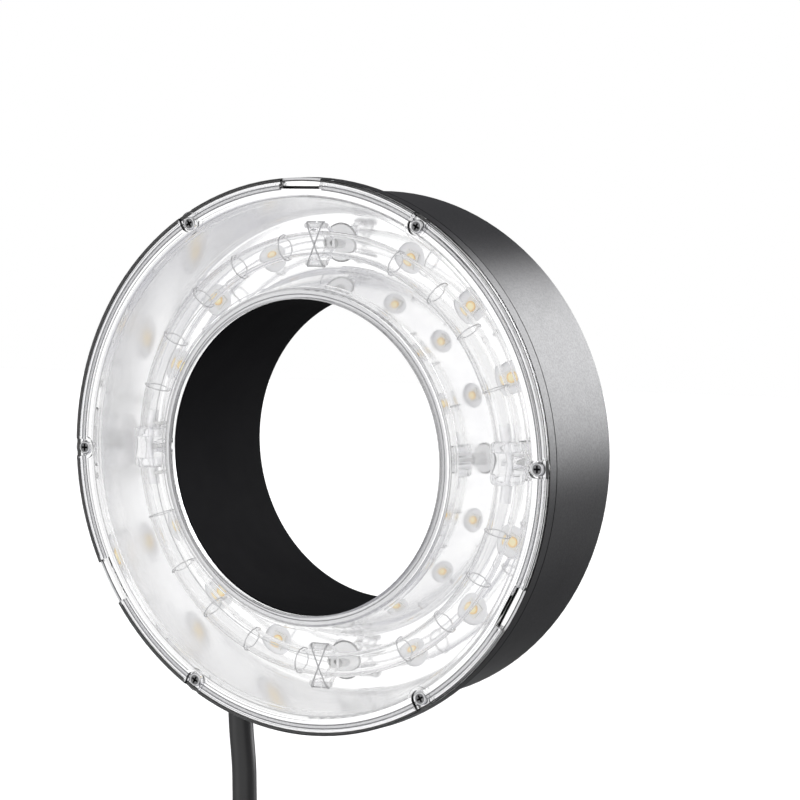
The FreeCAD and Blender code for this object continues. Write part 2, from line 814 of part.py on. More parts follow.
def tube_socket():
    """Clear sleeve that holds one end of each tube, on a stem with a passage for the lead."""
    sleeve = cross_rod(socket_radius, socket_length, tube_circle_radius, tube_depth, -socket_length / 2)
    rims = [edge for edge in sleeve.Edges if edge.BoundBox.ZLength < 1e-6]
    sleeve = sleeve.makeFillet(socket_edge, rims)
    body = fused([sleeve] + post_foot(tube_depth))
    end = (tube_circle_radius - tube_radius) * math.sin(math.radians(tube_end_angle)) - fit_gap
    tools = []
    for side in (-1, 1):
        bore = torus_part(tube_radius + channel_gap, 0, 20)
        keep = block(6 * tube_radius, socket_length, tube_depth - socket_length, tube_depth + socket_length,
                     tube_circle_radius)
        keep.translate(V(0, 0, end + socket_length / 2))
        bore = bore.common(keep)
        pin = turned(cross_rod(pin_radius + 3 * fit_gap, 2 * pin_length, tube_circle_radius, tube_depth,
                               -2 * pin_length), electrode_angle)
        for tool in (bore, pin):
            tools.append(tool if side > 0 else tool.mirror(V(0, 0, 0), V(0, 0, 1)))
    tools.append(post(lead_passage_radius, tube_circle_radius, 0, tube_depth, post_base_back + 1))
    tools += trigger_lead_holes(0)
    tools += post_screw_holes(post_screw_radius + fit_gap, post_plug_front, post_base_back + 1)
    return cut_all(body, tools)


def tie_pegs():
    peg = [cross_rod(peg_radius, peg_length, tube_circle_radius + side * peg_offset, peg_depth,
                     -peg_length / 2) for side in (-1, 1)]
    return Part.makeCompound([turned(rod, angle) for angle in (90, 270) for rod in peg])


def tie_wire():
    """Wire that goes round both pegs and crosses over the front of the tube."""
    reach = peg_radius + tie_wire_radius + fit_gap
    out = peg_offset + reach
    front = peg_depth - reach
    back = peg_depth + tie_bend + 0.1
    side = peg_length / 2 - tie_wire_inset
    lower = front + tie_wire_radius / 2
    upper = lower - 2 * tie_wire_radius - fit_gap
    places = [(out, 0.4, back), (out, side, back), (out, side, front), (0, 0, upper),
              (-out, -side, front), (-out, -side, back), (-out, side, back), (-out, side, front),
              (0, 0, lower), (out, -side, front), (out, -side, back), (out, -0.4, back)]
    points = [V(tube_circle_radius + radial, y_at(depth), along) for radial, along, depth in places]
    crossing = 6.0
    bends = [tie_bend, reach, crossing, reach, tie_bend, tie_bend, reach, crossing, reach, tie_bend]
    return pipe(rounded_wire(points, bends), tie_wire_radius)


def post_screws():
    screws = []
    for angle in steps(4):
        for shank in post_screw_holes(post_screw_radius, led_board_front + 0.2, post_base_back):
            centre = V(shank.CenterOfMass.x, y_at(post_base_back), shank.CenterOfMass.z)
            head = Part.makeCylinder(post_screw_head_radius, post_screw_head_height, centre, V(0, 1, 0))
            screws.append(turned(shank.fuse(head), angle))
    return Part.makeCompound(screws)


# LED board

def led_angles():
    """Every step round the ring except where the posts and sockets are."""
    count = int(round(360 / led_step_angle))
    return [k * led_step_angle for k in range(count) if (k * led_step_angle) % 90]


def link_place():
    """Radius and depth of the link that joins the turns of a trigger wire."""
    lean = math.sqrt(0.5) * (tube_radius + turn_gap + turn_thickness / 2)
    return tube_circle_radius - lean, tube_depth - lean


def trigger_lead_holes(angle):
    """Holes for the two leads beside a socket that run back from the trigger wires."""
    return [post(thin_lead_radius + screw_clearance, trigger_lead_radius, angle + side * trigger_lead_angle,
                 floor_depth - 1, post_base_back + 1) for side in (-1, 1)]


def led_board():
    board = ring([(led_board_inner_radius, led_board_front), (led_board_outer_radius, led_board_front),
                  (led_board_outer_radius, led_board_back), (led_board_inner_radius, led_board_back)])
    through = (led_board_front - 1, led_board_back + 1)
    tools = [post(post_hole_radius, tube_circle_radius, angle, *through) for angle in steps(4)]
    tools += [post(stud_radius + screw_clearance, stud_circle_radius, angle, *through)
              for angle in steps(stud_count, stud_first_angle)]
    tools += [turned(hole, angle) for angle in steps(4)
              for hole in post_screw_holes(post_screw_radius + fit_gap, *through)]
    tools += trigger_lead_holes(180)
    return cut_all(board, tools)


def led_packages():
    package = block(led_package_side, led_package_side, led_board_front - led_package_height, led_board_front,
                    led_circle_radius)
    return Part.makeCompound([turned(package, angle) for angle in led_angles()])


def led_phosphors():
    back = led_board_front - led_package_height
    return Part.makeCompound([post(phosphor_radius, led_circle_radius, angle, back - phosphor_height, back)
                              for angle in led_angles()])


def board_nuts():
    corner = nut_across_flats / math.sqrt(3)
    nuts = []
    for angle in steps(stud_count, stud_first_angle):
        centre = polar(stud_circle_radius, angle, led_board_back)
        corners = [centre + V(corner * math.cos(a), 0, corner * math.sin(a))
                   for a in (math.radians(60 * k) for k in range(7))]
        hexagon = Part.Face(Part.makePolygon(corners)).extrude(V(0, nut_thickness, 0))
        nuts.append(hexagon.cut(post(stud_radius + fit_gap, stud_circle_radius, angle,
                                     led_board_back - 1, led_board_back + nut_thickness + 1)))
    return Part.makeCompound(nuts)


# Control board

def control_board():
    sector = control_board_end - control_board_start
    front, back = control_board_depth, control_board_back
    corners = [(control_board_inner_radius, front), (control_board_outer_radius, front),
               (control_board_outer_radius, back), (control_board_inner_radius, back)]
    points = [V(radius, y_at(depth), 0) for radius, depth in corners]
    face = Part.Face(Part.makePolygon(points + points[:1]))
    board = turned(face.revolve(V(0, 0, 0), V(0, 1, 0), -sector), control_board_start)
    holes = [post(board_screw_radius + screw_clearance, radius, angle, front - 1, back + 1)
             for radius in standoff_radii for angle in standoff_angles]
    return cut_all(board, holes)


def board_screws():
    screws = []
    for radius in standoff_radii:
        for angle in standoff_angles:
            head = post(board_screw_head_radius, radius, angle,
                        control_board_depth - board_screw_head_height, control_board_depth)
            shank = post(board_screw_radius, radius, angle, control_board_depth,
                         control_board_back + board_screw_length - 1)
            screws.append(head.fuse(shank))
    return Part.makeCompound(screws)


def board_part(width, length, height, radius, angle):
    """Box that stands on the rear side of the control board."""
    return turned(block(width, length, control_board_back, control_board_back + height, radius), angle)


def trigger_transformer():
    """Core block between the two flanges of its bobbin."""
    flanges = board_part(transformer_width, transformer_length, transformer_height,
                         control_board_radius, transformer_angle)
    core = board_part(transformer_width - 2 * transformer_flange, transformer_length - 2 * transformer_flange,
                      transformer_core_height, control_board_radius, transformer_angle)
    return flanges.fuse(core)


def trigger_capacitor():
    box = block(capacitor_width, capacitor_length, control_board_back, control_board_back + capacitor_height,
                control_board_radius)
    edges = [edge for edge in box.Edges if edge.BoundBox.YLength > capacitor_height / 2]
    return turned(box.makeFillet(capacitor_corner, edges), capacitor_angle)


def terminal_place(row, along):
    """Point on the axis of one wire mouth, at a distance from the block's middle plane."""
    point = V(control_board_radius + terminal_pitch * row, y_at(control_board_back + terminal_depth), along)
    return turned(Part.Vertex(point), terminal_angle).Point


def terminal_block():
    """Terminals with three wire mouths that face the cord."""
    body = block(terminal_width, terminal_length, control_board_back, control_board_back + terminal_height,
                 control_board_radius)
    mouths = [cross_rod(core_radius + screw_clearance, terminal_length,
                        control_board_radius + terminal_pitch * row,
                        control_board_back + terminal_depth, terminal_wall) for row in (-1, 0, 1)]
    return turned(cut_all(body, mouths), terminal_angle)


# Leads inside the drum

def lead(places, radius, bend):
    """Wire through (radius, angle, depth) places, with the same bend at each."""
    points = [polar(*place) for place in places]
    return pipe(rounded_wire(points, [bend] * (len(points) - 2)), radius)


def high_voltage_leads():
    """One lead from each socket to the control board; the right one goes round over the top."""
    start = tube_depth + pin_radius + pin_lead_gap
    behind = control_board_back + lead_rise
    inner = throat_outer_radius + lead_throat_gap
    places = [(tube_circle_radius, 0, start), (tube_circle_radius, 0, behind)]
    places += [(inner, angle, behind) for angle in range(16, 137, 24)]
    places += [(inner + 1, 152, behind), (tube_circle_radius, 156.8, behind)]
    left = polar(tube_circle_radius, 180, start)
    length = control_board_depth - fit_gap - start
    return Part.makeCompound([lead(places, lead_radius, lead_bend),
                              Part.makeCylinder(lead_radius, length, left, V(0, 1, 0))])


def trigger_leads():
    """Lead from the end of each trigger wire to the control board."""
    radius, depth = link_place()
    tip = (turn_thickness + fit_gap) / 2
    wires = []
    for side in (-1, 1):
        angle = 180 + side * trigger_lead_angle
        places = [(radius - tip, angle, depth - tip),
                  (trigger_lead_radius, angle, depth - radius + trigger_lead_radius),
                  (trigger_lead_radius, angle, control_board_depth - fit_gap)]
        wires.append(lead(places, thin_lead_radius, thin_lead_bend))
    return Part.makeCompound(wires)


def led_lead():
    """Pair of wires from the LED board to the control board."""
    wires = []
    middle = (led_board_back + control_board_depth) / 2
    first = led_circle_radius + led_lead_outward
    for radius in (first, first + led_lead_pitch):
        places = [(radius, led_lead_angles[0], led_board_back + fit_gap),
                  (radius, led_lead_angles[0], middle), (radius, led_lead_angles[1], middle),
                  (radius, led_lead_angles[1], control_board_depth - fit_gap)]
        wires.append(lead(places, thin_lead_radius, led_lead_bend))
    return Part.makeCompound(wires)


# Cord outlet

def hexagon_prism(across_flats, base, height):
    corner = across_flats / math.sqrt(3)
    centre = V(cord_x, y_at(cord_depth), base)
    corners = [centre + V(corner * math.cos(a), corner * math.sin(a), 0)
               for a in (math.radians(60 * k) for k in range(7))]
    return Part.Face(Part.makePolygon(corners)).extrude(V(0, 0, height))


def upright(radius, base, height):
    return Part.makeCylinder(radius, height, V(cord_x, y_at(cord_depth), base), V(0, 0, 1))


def gland_body():
    """Hexagon that seats on the outlet, with a barrel that screws into it."""
    flange = hexagon_prism(gland_across_flats, outlet_face - gland_flange_height, gland_flange_height)
    barrel = upright(gland_barrel_radius, outlet_face, gland_barrel_length)
    bore = upright(cord_radius + gland_bore_gap, gland_mouth, 40)
    return flange.fuse(barrel).cut(bore)


def gland_nut():
    """Nut that squeezes the seal round the cord."""
    top = outlet_face - gland_flange_height
    grip = upright(gland_across_flats / 2, top - gland_nut_grip, gland_nut_grip)
    tip = Part.makeCone(gland_nut_tip_radius, gland_across_flats / 2, gland_nut_height - gland_nut_grip,
                        V(cord_x, y_at(cord_depth), gland_mouth), V(0, 0, 1))
    return grip.fuse(tip).cut(upright(cord_radius + gland_bore_gap, gland_mouth - 1, 40))


def cord_inner():
    """The cord's last stretch, through the gland and into the drum."""
    return upright(cord_radius, gland_mouth, cord_inner_length)


def cord_cores():
    """Three cores from the cord's end to the terminals."""
    top = gland_mouth + cord_inner_length + fit_gap
    cores = []
    for row in (-1, 0, 1):
        start = V(cord_x - core_pitch * row, y_at(cord_depth), top)
        rise = start + V(0, 0, core_rise)
        mouth = terminal_place(row, terminal_length / 2 + core_lead_in)
        inside = terminal_place(row, terminal_length / 4)
        cores.append(pipe(rounded_wire([start, rise, mouth, inside], [lead_bend, lead_bend]), core_radius))
    return Part.makeCompound(cores)


# Free cord and coil

def cord_points():
    return [V(cord_x + x, y_at(cord_depth), gland_mouth + z) for x, z in cord_run]


def cord():
    points = cord_points()
    radii = route_radii(points)
    print("cord arc radii", [round(radius, 1) for radius in radii])
    return tube_with_volume("cord", rounded_wire(points, radii))


def tube_with_volume(name, wire):
    """Tube along a wire, with its volume compared with its section times its length."""
    tube = pipe(wire, cord_radius)
    expected = math.pi * cord_radius ** 2 * wire.Length
    share = round(tube.Volume / expected, 4)
    print(name, "length", round(wire.Length, 1), "volume over section times length", share)
    return tube


def circle_point(centre, radius, angle):
    turn = math.radians(angle)
    return centre + V(radius * math.cos(turn), 0, radius * math.sin(turn))


def arc(centre, radius, start, end):
    """Arc of a circle that lies square to the lens axis."""
    points = [circle_point(centre, radius, angle) for angle in (start, (start + end) / 2, end)]
    return Part.Arc(*points).toShape()


def coil_middle():
    """Centre of the lower half turns, from where the cord comes down and how wide the coil is."""
    start = cord_points()[-1]
    turn = math.radians(lead_in_angle)
    outer = coil_inner_radius + coil_half_turns * coil_pitch / 2
    sideways = outer * math.cos(turn) - lead_in_radius * (1 - math.cos(turn)) - coil_pitch / 2
    down = cord_diameter + (lead_in_radius + outer) * math.sin(turn)
    return start + V(sideways, 0, -down)


def coil_wire():
    """One unbroken line that winds inwards in the front layer, climbs, and winds out behind it."""
    middle = coil_middle()
    half_pitch = coil_pitch / 2
    climb = V(0, coil_pitch, 0)
    aside = V(half_pitch, 0, 0)
    start = cord_points()[-1]
    bend_start = start - V(0, 0, cord_diameter)
    radius = coil_inner_radius + coil_half_turns * half_pitch
    edges = [Part.LineSegment(start, bend_start).toShape(),
             arc(bend_start - V(lead_in_radius, 0, 0), lead_in_radius, 0, -lead_in_angle),
             arc(middle + aside, radius, 180 - lead_in_angle, 180)]
    for k in range(coil_half_turns - 1):
        radius -= half_pitch
        edges.append(arc(middle, radius, 180, 360) if k % 2 == 0 else arc(middle + aside, radius, 0, 180))
    radius -= half_pitch
    low = circle_point(middle + climb / 2, math.hypot(radius, half_pitch), 270)
    far_side = circle_point(middle + climb, radius, 0)
    edges.append(Part.Arc(circle_point(middle, radius, 180), low, far_side).toShape())
    for k in range(coil_half_turns):
        radius += half_pitch
        centre = middle + climb - aside if k % 2 == 0 else middle + climb
        edges.append(arc(centre, radius, 0, 180) if k % 2 == 0 else arc(centre, radius, 180, 360))
    end = circle_point(middle + climb - aside, radius, 180)
    edges.append(Part.LineSegment(end, end - V(0, 0, cord_diameter)).toShape())
    return Part.Wire(edges)


def least_gap(wire, diameter):
    """Least gap between two turns of a wound line, measured on points along it."""
    spacing = 1.5
    points = wire.discretize(Number=int(wire.Length / spacing))
    apart = int(3 * diameter / spacing)
    least = min(point.distanceToPoint(other)
                for k, point in enumerate(points) for other in points[k + apart:])
    return least - diameter


def cord_coil():
    wire = coil_wire()
    print("coil least gap", round(least_gap(wire, cord_diameter), 2))
    return tube_with_volume("coil", wire)


def coil_end():
    """Where the coil's last run ends, above the plug."""
    return coil_wire().OrderedVertexes[-1].Point


def cord_tail():
    start = coil_end()
    end = start - V(0, 0, tail_length)
    return tube_with_volume("tail", Part.Wire([Part.LineSegment(start, end).toShape()]))


def cord_tie():
    """Strap round all the turns, where the coil's layers lie straight behind each other."""
    middle = coil_middle()
    half = tie_width / 2
    outer = coil_inner_radius + (coil_half_turns - 1) * coil_pitch / 2 + cord_radius + tie_gap
    inner = math.sqrt((coil_inner_radius - cord_radius) ** 2 - half ** 2) - tie_gap
    front = middle.y - cord_radius - tie_gap
    back = middle.y + coil_pitch + cord_radius + tie_gap

    def sleeve(wall, corner):
        box = Part.makeBox(outer - inner + 2 * wall, back - front + 2 * wall, tie_width,
                           V(middle.x + inner - wall, front - wall, middle.z - half))
        return box.makeFillet(corner, [edge for edge in box.Edges if edge.BoundBox.ZLength > tie_width / 2])

    return sleeve(tie_thickness, tie_corner).cut(sleeve(0, tie_corner - tie_thickness))


# Plug

def plug_stations():
    """Heights of the boot's top and of the tops of the barrel, the neck and the sleeve."""
    boot_top = coil_end().z - tail_length
    barrel_top = boot_top - boot_length
    neck_top = barrel_top - plug_barrel_length
    return boot_top, barrel_top, neck_top, neck_top - plug_neck_length


def plug_place(height, angle=0.0, radius=0.0):
    """Point on the plug's axis, or beside it, at a height."""
    end = coil_end()
    turn = math.radians(angle)
    return V(end.x + radius * math.cos(turn), end.y + radius * math.sin(turn), height)


def plug_turned(corners):
    """Solid of revolution round the plug's axis, from its (radius, height) corners."""
    axis = plug_place(0)
    points = [axis + V(radius, 0, height) for radius, height in corners]
    return Part.Face(Part.makePolygon(points + points[:1])).revolve(axis, V(0, 0, 1), 360)


def plug_boot():
    """Tapered rubber boot with grip rings."""
    top, bottom = plug_stations()[:2]
    start_radius = cord_radius + boot_wall
    slope = (boot_end_radius - start_radius) / boot_length
    corners = [(0, top), (start_radius, top)]
    for k in range(boot_groove_count):
        height = top - boot_groove_start - boot_groove_pitch * k
        surface = start_radius + slope * (top - height)
        low = surface - boot_groove_depth
        corners += [(surface, height), (low, height), (low, height - boot_groove_width),
                    (surface, height - boot_groove_width)]
    corners += [(boot_end_radius, bottom), (0, bottom)]
    return plug_turned(corners)


def plug_body():
    """Metal barrel, the neck that the ring turns on, and the sleeve round the contacts."""
    barrel_top, neck_top, sleeve_top = plug_stations()[1:]
    bottom = sleeve_top - plug_sleeve_length
    inside = plug_sleeve_radius - plug_sleeve_wall
    return plug_turned([
        (0, barrel_top),
        (boot_end_radius + plug_shoulder, barrel_top),
        (plug_radius, barrel_top - plug_shoulder_length),
        (plug_radius, neck_top),
        (plug_neck_radius, neck_top),
        (plug_neck_radius, sleeve_top),
        (plug_sleeve_radius, sleeve_top),
        (plug_sleeve_radius, bottom),
        (inside, bottom),
        (inside, sleeve_top),
        (0, sleeve_top),
    ])


def contact_places(height):
    return [plug_place(height, angle, contact_circle_radius) for angle in steps(contact_count, 90)]


def plug_insert():
    """Insulating disc that holds the contacts."""
    top = plug_stations()[3]
    inside = plug_sleeve_radius - plug_sleeve_wall
    disc = Part.makeCylinder(inside - fit_gap, insert_disc_length, plug_place(top - insert_disc_length),
                             V(0, 0, 1))
    holes = [Part.makeCylinder(contact_radius + fit_gap, insert_disc_length, place, V(0, 0, 1))
             for place in contact_places(top - insert_disc_length)]
    return disc.cut(holes)


def plug_pins():
    top = plug_stations()[3]
    length = insert_disc_length + contact_length
    pins = []
    for place in contact_places(top - length):
        pin = Part.makeCylinder(contact_radius, length, place, V(0, 0, 1))
        tip = [edge for edge in pin.Edges if abs(edge.BoundBox.ZMax - place.z) < 1e-6]
        pins.append(pin.makeFillet(contact_radius / 2, tip))
    return Part.makeCompound(pins)


def plug_collar():
    """Fluted coupling ring that turns freely on the neck, with its lip behind the sleeve."""
    neck_top = plug_stations()[2]
    top = neck_top - ring_gap
    bottom = top - ring_length
    bore = plug_sleeve_radius + ring_gap
    collar = plug_turned([
        (plug_neck_radius + ring_gap, top),
        (ring_outer_radius - ring_chamfer, top),
        (ring_outer_radius, top - ring_chamfer),
        (ring_outer_radius, bottom + ring_chamfer),
        (ring_outer_radius - ring_chamfer, bottom),
        (bore, bottom),
        (bore, top - ring_lip),
        (plug_neck_radius + ring_gap, top - ring_lip),
    ])
    places = [plug_place(bottom + ring_flute_start, angle, ring_outer_radius + ring_flute_radius / 3)
              for angle in steps(ring_flutes)]
    flutes = [Part.makeCylinder(ring_flute_radius, ring_length, place, V(0, 0, 1)) for place in places]
    return collar.cut(flutes)


def nodes():
    """Every piece by its node's name."""
    post_shape = tube_post()
    socket_shape = tube_socket()
    tie_shape = tie_wire()
    upper = (tube_end_angle, 180 - tube_end_angle)
    lower = (180 + tube_end_angle, 360 - tube_end_angle)
    return {
        "front_cover": front_cover(),
        "cover_screws": cover_screws(),
        "outer_shell": outer_shell(),
        "throat_tube": throat_tube(),
        "reflector": reflector(),
        "rear_cover": rear_cover(),
        "rear_cover_screws": rear_cover_screws(),
        "bracket_inserts": bracket_inserts(),
        "flash_tube_upper": flash_tube(*upper),
        "flash_tube_lower": flash_tube(*lower),
        "tube_electrodes": tube_electrodes(),
        "trigger_wire_upper": trigger_wire(upper_turn_angles, 20, 180 - link_end_angle),
        "trigger_wire_lower": trigger_wire(lower_turn_angles, 180 + link_end_angle, 341),
        "tube_post_top": turned(post_shape, 90),
        "tube_post_bottom": turned(post_shape, 270),
        "tie_pegs": tie_pegs(),
        "tie_wire_top": turned(tie_shape, 90),
        "tie_wire_bottom": turned(tie_shape, 270),
        "tube_socket_right": socket_shape,
        "tube_socket_left": turned(socket_shape, 180),
        "post_screws": post_screws(),
        "led_board": led_board(),
        "led_packages": led_packages(),
        "led_phosphors": led_phosphors(),
        "board_nuts": board_nuts(),
        "control_board": control_board(),
        "board_screws": board_screws(),
        "trigger_transformer": trigger_transformer(),
        "trigger_capacitor": trigger_capacitor(),
        "terminal_block": terminal_block(),
        "high_voltage_leads": high_voltage_leads(),
        "trigger_leads": trigger_leads(),
        "led_lead": led_lead(),
        "gland_body": gland_body(),
        "gland_nut": gland_nut(),
        "cord_inner": cord_inner(),
        "cord_cores": cord_cores(),
        "cord": cord(),
        "cord_coil": cord_coil(),
        "cord_tail": cord_tail(),
        "cord_tie": cord_tie(),
        "plug_boot": plug_boot(),
        "plug_body": plug_body(),
        "plug_insert": plug_insert(),
        "plug_pins": plug_pins(),
        "plug_collar": plug_collar(),
    }


os.makedirs("parts", exist_ok=True)
for name, shape in nodes().items():
    print(name, "solids", len(shape.Solids), "valid", shape.isValid(), "volume", round(shape.Volume, 1))
    shape.exportStep("parts/" + name + ".step")
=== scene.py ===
"""Ring flash head: looks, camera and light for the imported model.

Everything is in metres in the model's own frame: the lens axis is Y, the front faces -Y, Z is up.
"""
import math

import bpy
from mathutils import Euler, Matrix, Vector


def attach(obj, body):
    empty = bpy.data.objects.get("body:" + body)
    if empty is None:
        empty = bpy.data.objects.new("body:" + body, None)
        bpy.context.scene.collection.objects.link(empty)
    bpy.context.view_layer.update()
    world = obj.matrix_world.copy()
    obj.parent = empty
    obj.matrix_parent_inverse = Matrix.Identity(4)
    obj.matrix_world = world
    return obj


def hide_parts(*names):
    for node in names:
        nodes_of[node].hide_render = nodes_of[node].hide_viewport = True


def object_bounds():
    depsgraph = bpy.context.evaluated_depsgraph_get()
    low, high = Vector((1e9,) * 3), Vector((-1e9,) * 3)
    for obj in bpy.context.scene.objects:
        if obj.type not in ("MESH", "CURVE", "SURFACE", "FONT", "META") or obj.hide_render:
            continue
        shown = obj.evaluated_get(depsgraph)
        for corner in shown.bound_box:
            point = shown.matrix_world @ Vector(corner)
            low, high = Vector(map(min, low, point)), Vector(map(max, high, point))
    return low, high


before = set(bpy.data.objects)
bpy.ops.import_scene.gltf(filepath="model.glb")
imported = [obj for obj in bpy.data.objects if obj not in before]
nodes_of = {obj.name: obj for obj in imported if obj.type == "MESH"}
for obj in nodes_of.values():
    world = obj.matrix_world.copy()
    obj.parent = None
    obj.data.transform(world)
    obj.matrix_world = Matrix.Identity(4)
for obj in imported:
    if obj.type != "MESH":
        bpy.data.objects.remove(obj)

cad_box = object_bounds()

# Camera, at the photograph's viewing angle
CAMERA_PLACE = (0.74793, -1.20804, 0.12738)
CAMERA_TURN = (85.508, 0.487, 31.549)
CAMERA_LENS = 183.6
CAMERA_CLIP = (0.05, 50.0)
SENSOR_WIDTH = 36.0

# Cord: the points of its hanging run, then the coil, as the model has them
CORD_EXIT = (-0.0485, -0.0222, -0.089)
CORD_RUN = ((-0.0485, -0.089), (-0.0485, -0.098), (-0.0471, -0.113), (-0.0471, -0.122))
CORD_RADIUS = 0.00435
COIL_INNER_RADIUS = 0.0385
COIL_GAP = 0.00055
COIL_HALF_TURNS = 5
COIL_PITCH = 2 * CORD_RADIUS + COIL_GAP
LEAD_IN_ANGLE = 60.0
LEAD_IN_RADIUS = 0.045
LEAD_IN_STEPS = 3
TURN_STEPS = 8
TAIL_LENGTH = 0.028
TAIL_SHARES = (0.35, 0.7, 1.0)


def make_camera():
    data = bpy.data.cameras.new("camera")
    data.lens = CAMERA_LENS
    data.sensor_width = SENSOR_WIDTH
    data.sensor_fit = "HORIZONTAL"
    data.clip_start, data.clip_end = CAMERA_CLIP
    camera = bpy.data.objects.new("camera", data)
    camera.location = CAMERA_PLACE
    camera.rotation_euler = Euler([math.radians(angle) for angle in CAMERA_TURN], "XYZ")
    bpy.context.scene.collection.objects.link(camera)
    bpy.context.scene.camera = camera


def arc_points(centre, radius, start, end, steps, rise=0.0):
    """Control points round an arc, each where the tangents of its step meet."""
    step = (end - start) / steps
    reach = radius / math.cos(math.radians(step / 2))
    points = []
    for k in range(steps):
        angle = math.radians(start + step * (k + 0.5))
        across = reach * math.cos(angle)
        depth = rise * (1 + math.cos(angle) * reach / radius) / 2
        points.append(centre + Vector((across, depth, reach * math.sin(angle))))
    return points


def cord_points():
    """The whole route: down from the gland, inwards in the front layer, outwards in the layer
    behind it, and down to the plug."""
    half_pitch = COIL_PITCH / 2
    aside = Vector((half_pitch, 0, 0))
    climb = Vector((0, COIL_PITCH, 0))
    run = [Vector((x, CORD_EXIT[1], z)) for x, z in CORD_RUN]
    turn = math.radians(LEAD_IN_ANGLE)
    radius = COIL_INNER_RADIUS + COIL_HALF_TURNS * half_pitch
    sideways = radius * math.cos(turn) - LEAD_IN_RADIUS * (1 - math.cos(turn)) - half_pitch
    down = 2 * CORD_RADIUS + (LEAD_IN_RADIUS + radius) * math.sin(turn)
    middle = run[-1] + Vector((sideways, 0, -down))
    bend = run[-1] + Vector((-LEAD_IN_RADIUS, 0, -2 * CORD_RADIUS))
    points = run + arc_points(bend, LEAD_IN_RADIUS, 0, -LEAD_IN_ANGLE, LEAD_IN_STEPS)
    points += arc_points(middle + aside, radius, 180 - LEAD_IN_ANGLE, 180, LEAD_IN_STEPS)
    for k in range(COIL_HALF_TURNS - 1):
        radius -= half_pitch
        lower = k % 2 == 0
        centre = middle if lower else middle + aside
        start = 180 if lower else 0
        points += arc_points(centre, radius, start, start + 180, TURN_STEPS)
    radius -= half_pitch
    points += arc_points(middle, radius, 180, 360, TURN_STEPS, COIL_PITCH)
    for k in range(COIL_HALF_TURNS):
        radius += half_pitch
        upper = k % 2 == 0
        centre = middle + climb - aside if upper else middle + climb
        start = 0 if upper else 180
        points += arc_points(centre, radius, start, start + 180, TURN_STEPS)
    end = middle + climb - aside - Vector((radius, 0, 0))
    tail = 2 * CORD_RADIUS + TAIL_LENGTH
    points += [end - Vector((0, 0, tail * share)) for share in TAIL_SHARES]
    return points


def make_cord():
    curve = bpy.data.curves.new("cord_line", "CURVE")
    curve.dimensions = "3D"
    curve.bevel_depth = 1.0
    curve.bevel_resolution = 7
    curve.resolution_u = 8
    curve.use_fill_caps = True
    points = cord_points()
    spline = curve.splines.new("NURBS")
    spline.points.add(len(points) - 1)
    for point, place in zip(spline.points, points):
        point.co = (*place, 1.0)
        point.radius = CORD_RADIUS
    spline.order_u = 3
    spline.use_endpoint_u = True
    spline.use_smooth = True
    piece = bpy.data.objects.new("cord_line", curve)
    bpy.context.scene.collection.objects.link(piece)
    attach(piece, "head")
    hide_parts("cord", "cord_coil", "cord_tail")
    return piece


make_camera()
cord_piece = make_cord()


# Material helpers

WHITE = (1.0, 1.0, 1.0, 1.0)
# Slots of pieces that are turned round the lens axis
ROUND_LENS = ("black_shell", "throat_black", "rear_black", "polished_trough", "clear_cover",
              "tube_glass")
# How straight outwards a normal has to point, as a share, to be smoothed round the axis
NEARLY_RADIAL = 0.999
# Width of a sharp change of colour, in metres
SHARP = 0.00008
# The usual limits of a noise
NOISE_LOW, NOISE_HIGH = 0.3, 0.7


def mixed_shader(tree, fac, first, second):
    """Mixes two shaders, and the first shows where fac is 0."""
    mix = tree.nodes.new("ShaderNodeMixShader")
    for socket, source in zip(mix.inputs, (fac, first, second)):
        tree.links.new(source, socket)
    return mix.outputs["Shader"]


